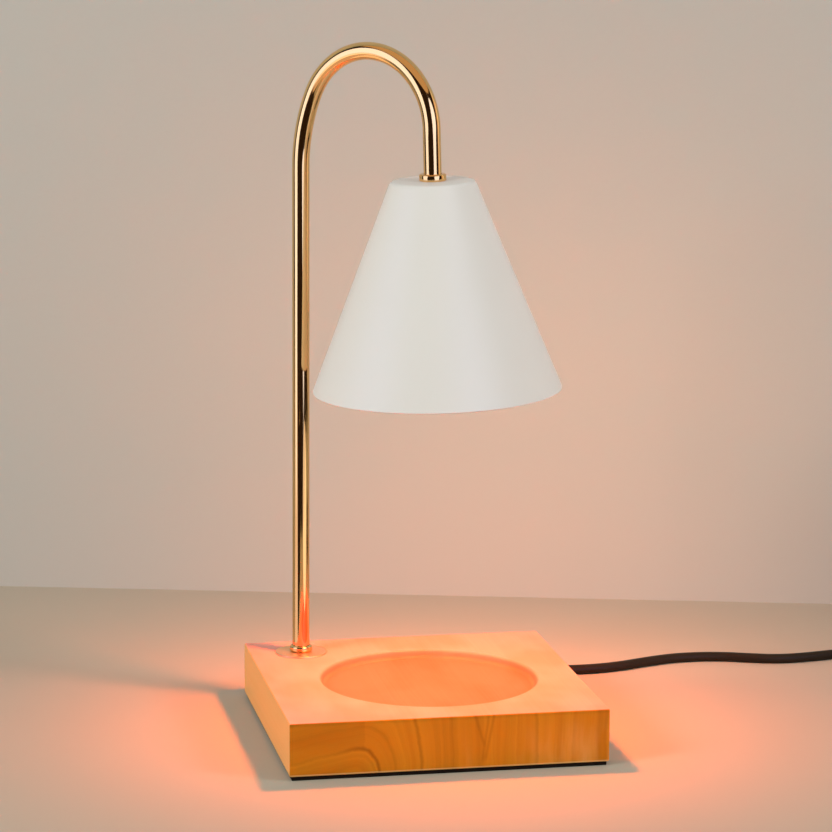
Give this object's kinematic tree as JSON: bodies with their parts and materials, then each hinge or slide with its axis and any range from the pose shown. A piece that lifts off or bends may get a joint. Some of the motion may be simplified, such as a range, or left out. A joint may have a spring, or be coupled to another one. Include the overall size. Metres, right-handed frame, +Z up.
{
  "type": "candle warmer lamp",
  "caption": "Table lamp that warms from above: square wooden base with a round dish, bent gold tube, white cone shade over a halogen bulb, cord with a rotary dimmer",
  "frame": {"origin": "middle of the underside of the base pad, on the table", "axes": "+Z up, +Y towards the back, where the cord leaves the base, +X to the right as seen from the front"},
  "size_m": [0.479, 0.2037, 0.3292],
  "materials": {
    "wood": "oiled, satin",
    "gold": "polished gold plating",
    "white_paint": "satin warm white",
    "foam": "black foam, matt",
    "black_rubber": "black, soft sheen",
    "black_plastic": "fine-textured black",
    "steel": "zinc plated",
    "brass": "bare brass",
    "ceramic": "unglazed ceramic, opaque",
    "mirror_glass": "glass with a mirror coating",
    "clear_glass": "clear, smooth",
    "white_nylon": "white nylon",
    "circuit_board": "green resin board"
  },
  "bodies": {
    "lamp": {"wood_base": "wood", "pole_rosette": "gold", "pole_collar": "gold", "neck_tube": "gold", "shade_ring": "gold", "shade": "white_paint", "base_pad": "foam", "coil_tie": "foam", "cord_grommet": "black_rubber", "mains_tail": "black_rubber", "cord_to_dimmer": "black_rubber", "cord_to_coil": "black_rubber", "cord_coil": "black_rubber", "cord_to_plug": "black_rubber", "dimmer_sleeve_1": "black_rubber", "dimmer_sleeve_2": "black_rubber", "plug_body": "black_rubber", "plug_relief": "black_rubber", "dimmer_lower_shell": "black_plastic", "dimmer_upper_shell": "black_plastic", "dimmer_triac": "black_plastic", "foot_washer": "steel", "foot_nut": "steel", "saddle_screw_1": "steel", "saddle_screw_2": "steel", "terminal_screw_1": "steel", "terminal_screw_2": "steel", "terminal_screw_3": "steel", "terminal_screw_4": "steel", "terminal_fixing_screw": "steel", "clamp_washer": "steel", "clamp_nut": "steel", "holder_bracket": "steel", "holder_screw_1": "steel", "holder_screw_2": "steel", "dimmer_potentiometer": "steel", "dimmer_screw_1": "steel", "dimmer_screw_2": "steel", "holder_contact_1": "brass", "holder_contact_2": "brass", "plug_blade_1": "brass", "plug_blade_2": "brass", "lamp_holder": "ceramic", "cord_saddle": "white_nylon", "terminal_block": "white_nylon", "dimmer_wire_1": "white_nylon", "dimmer_wire_2": "white_nylon", "inner_lead": "white_nylon", "dimmer_board": "circuit_board"},
    "dial": {"dimmer_dial": "black_plastic", "dimmer_shaft": "brass"},
    "bulb": {"bulb_reflector": "mirror_glass", "bulb_front_glass": "clear_glass", "bulb_capsule": "clear_glass", "bulb_pin_1": "steel", "bulb_pin_2": "steel"}
  },
  "joints": [
    {"name": "dimmer_turn", "type": "hinge", "parent": "lamp", "child": "dial", "pos_m": [0.288, 0.009, 0.018], "axis": [0, 0, 1], "range_deg": [0, 270]},
    {"name": "bulb_twist", "type": "hinge", "parent": "lamp", "child": "bulb", "pos_m": [0.00377, -0.00342, 0.26606], "axis": [-0.034, -0.022, 0.9992], "range_deg": [-25, 0]}
  ]
}
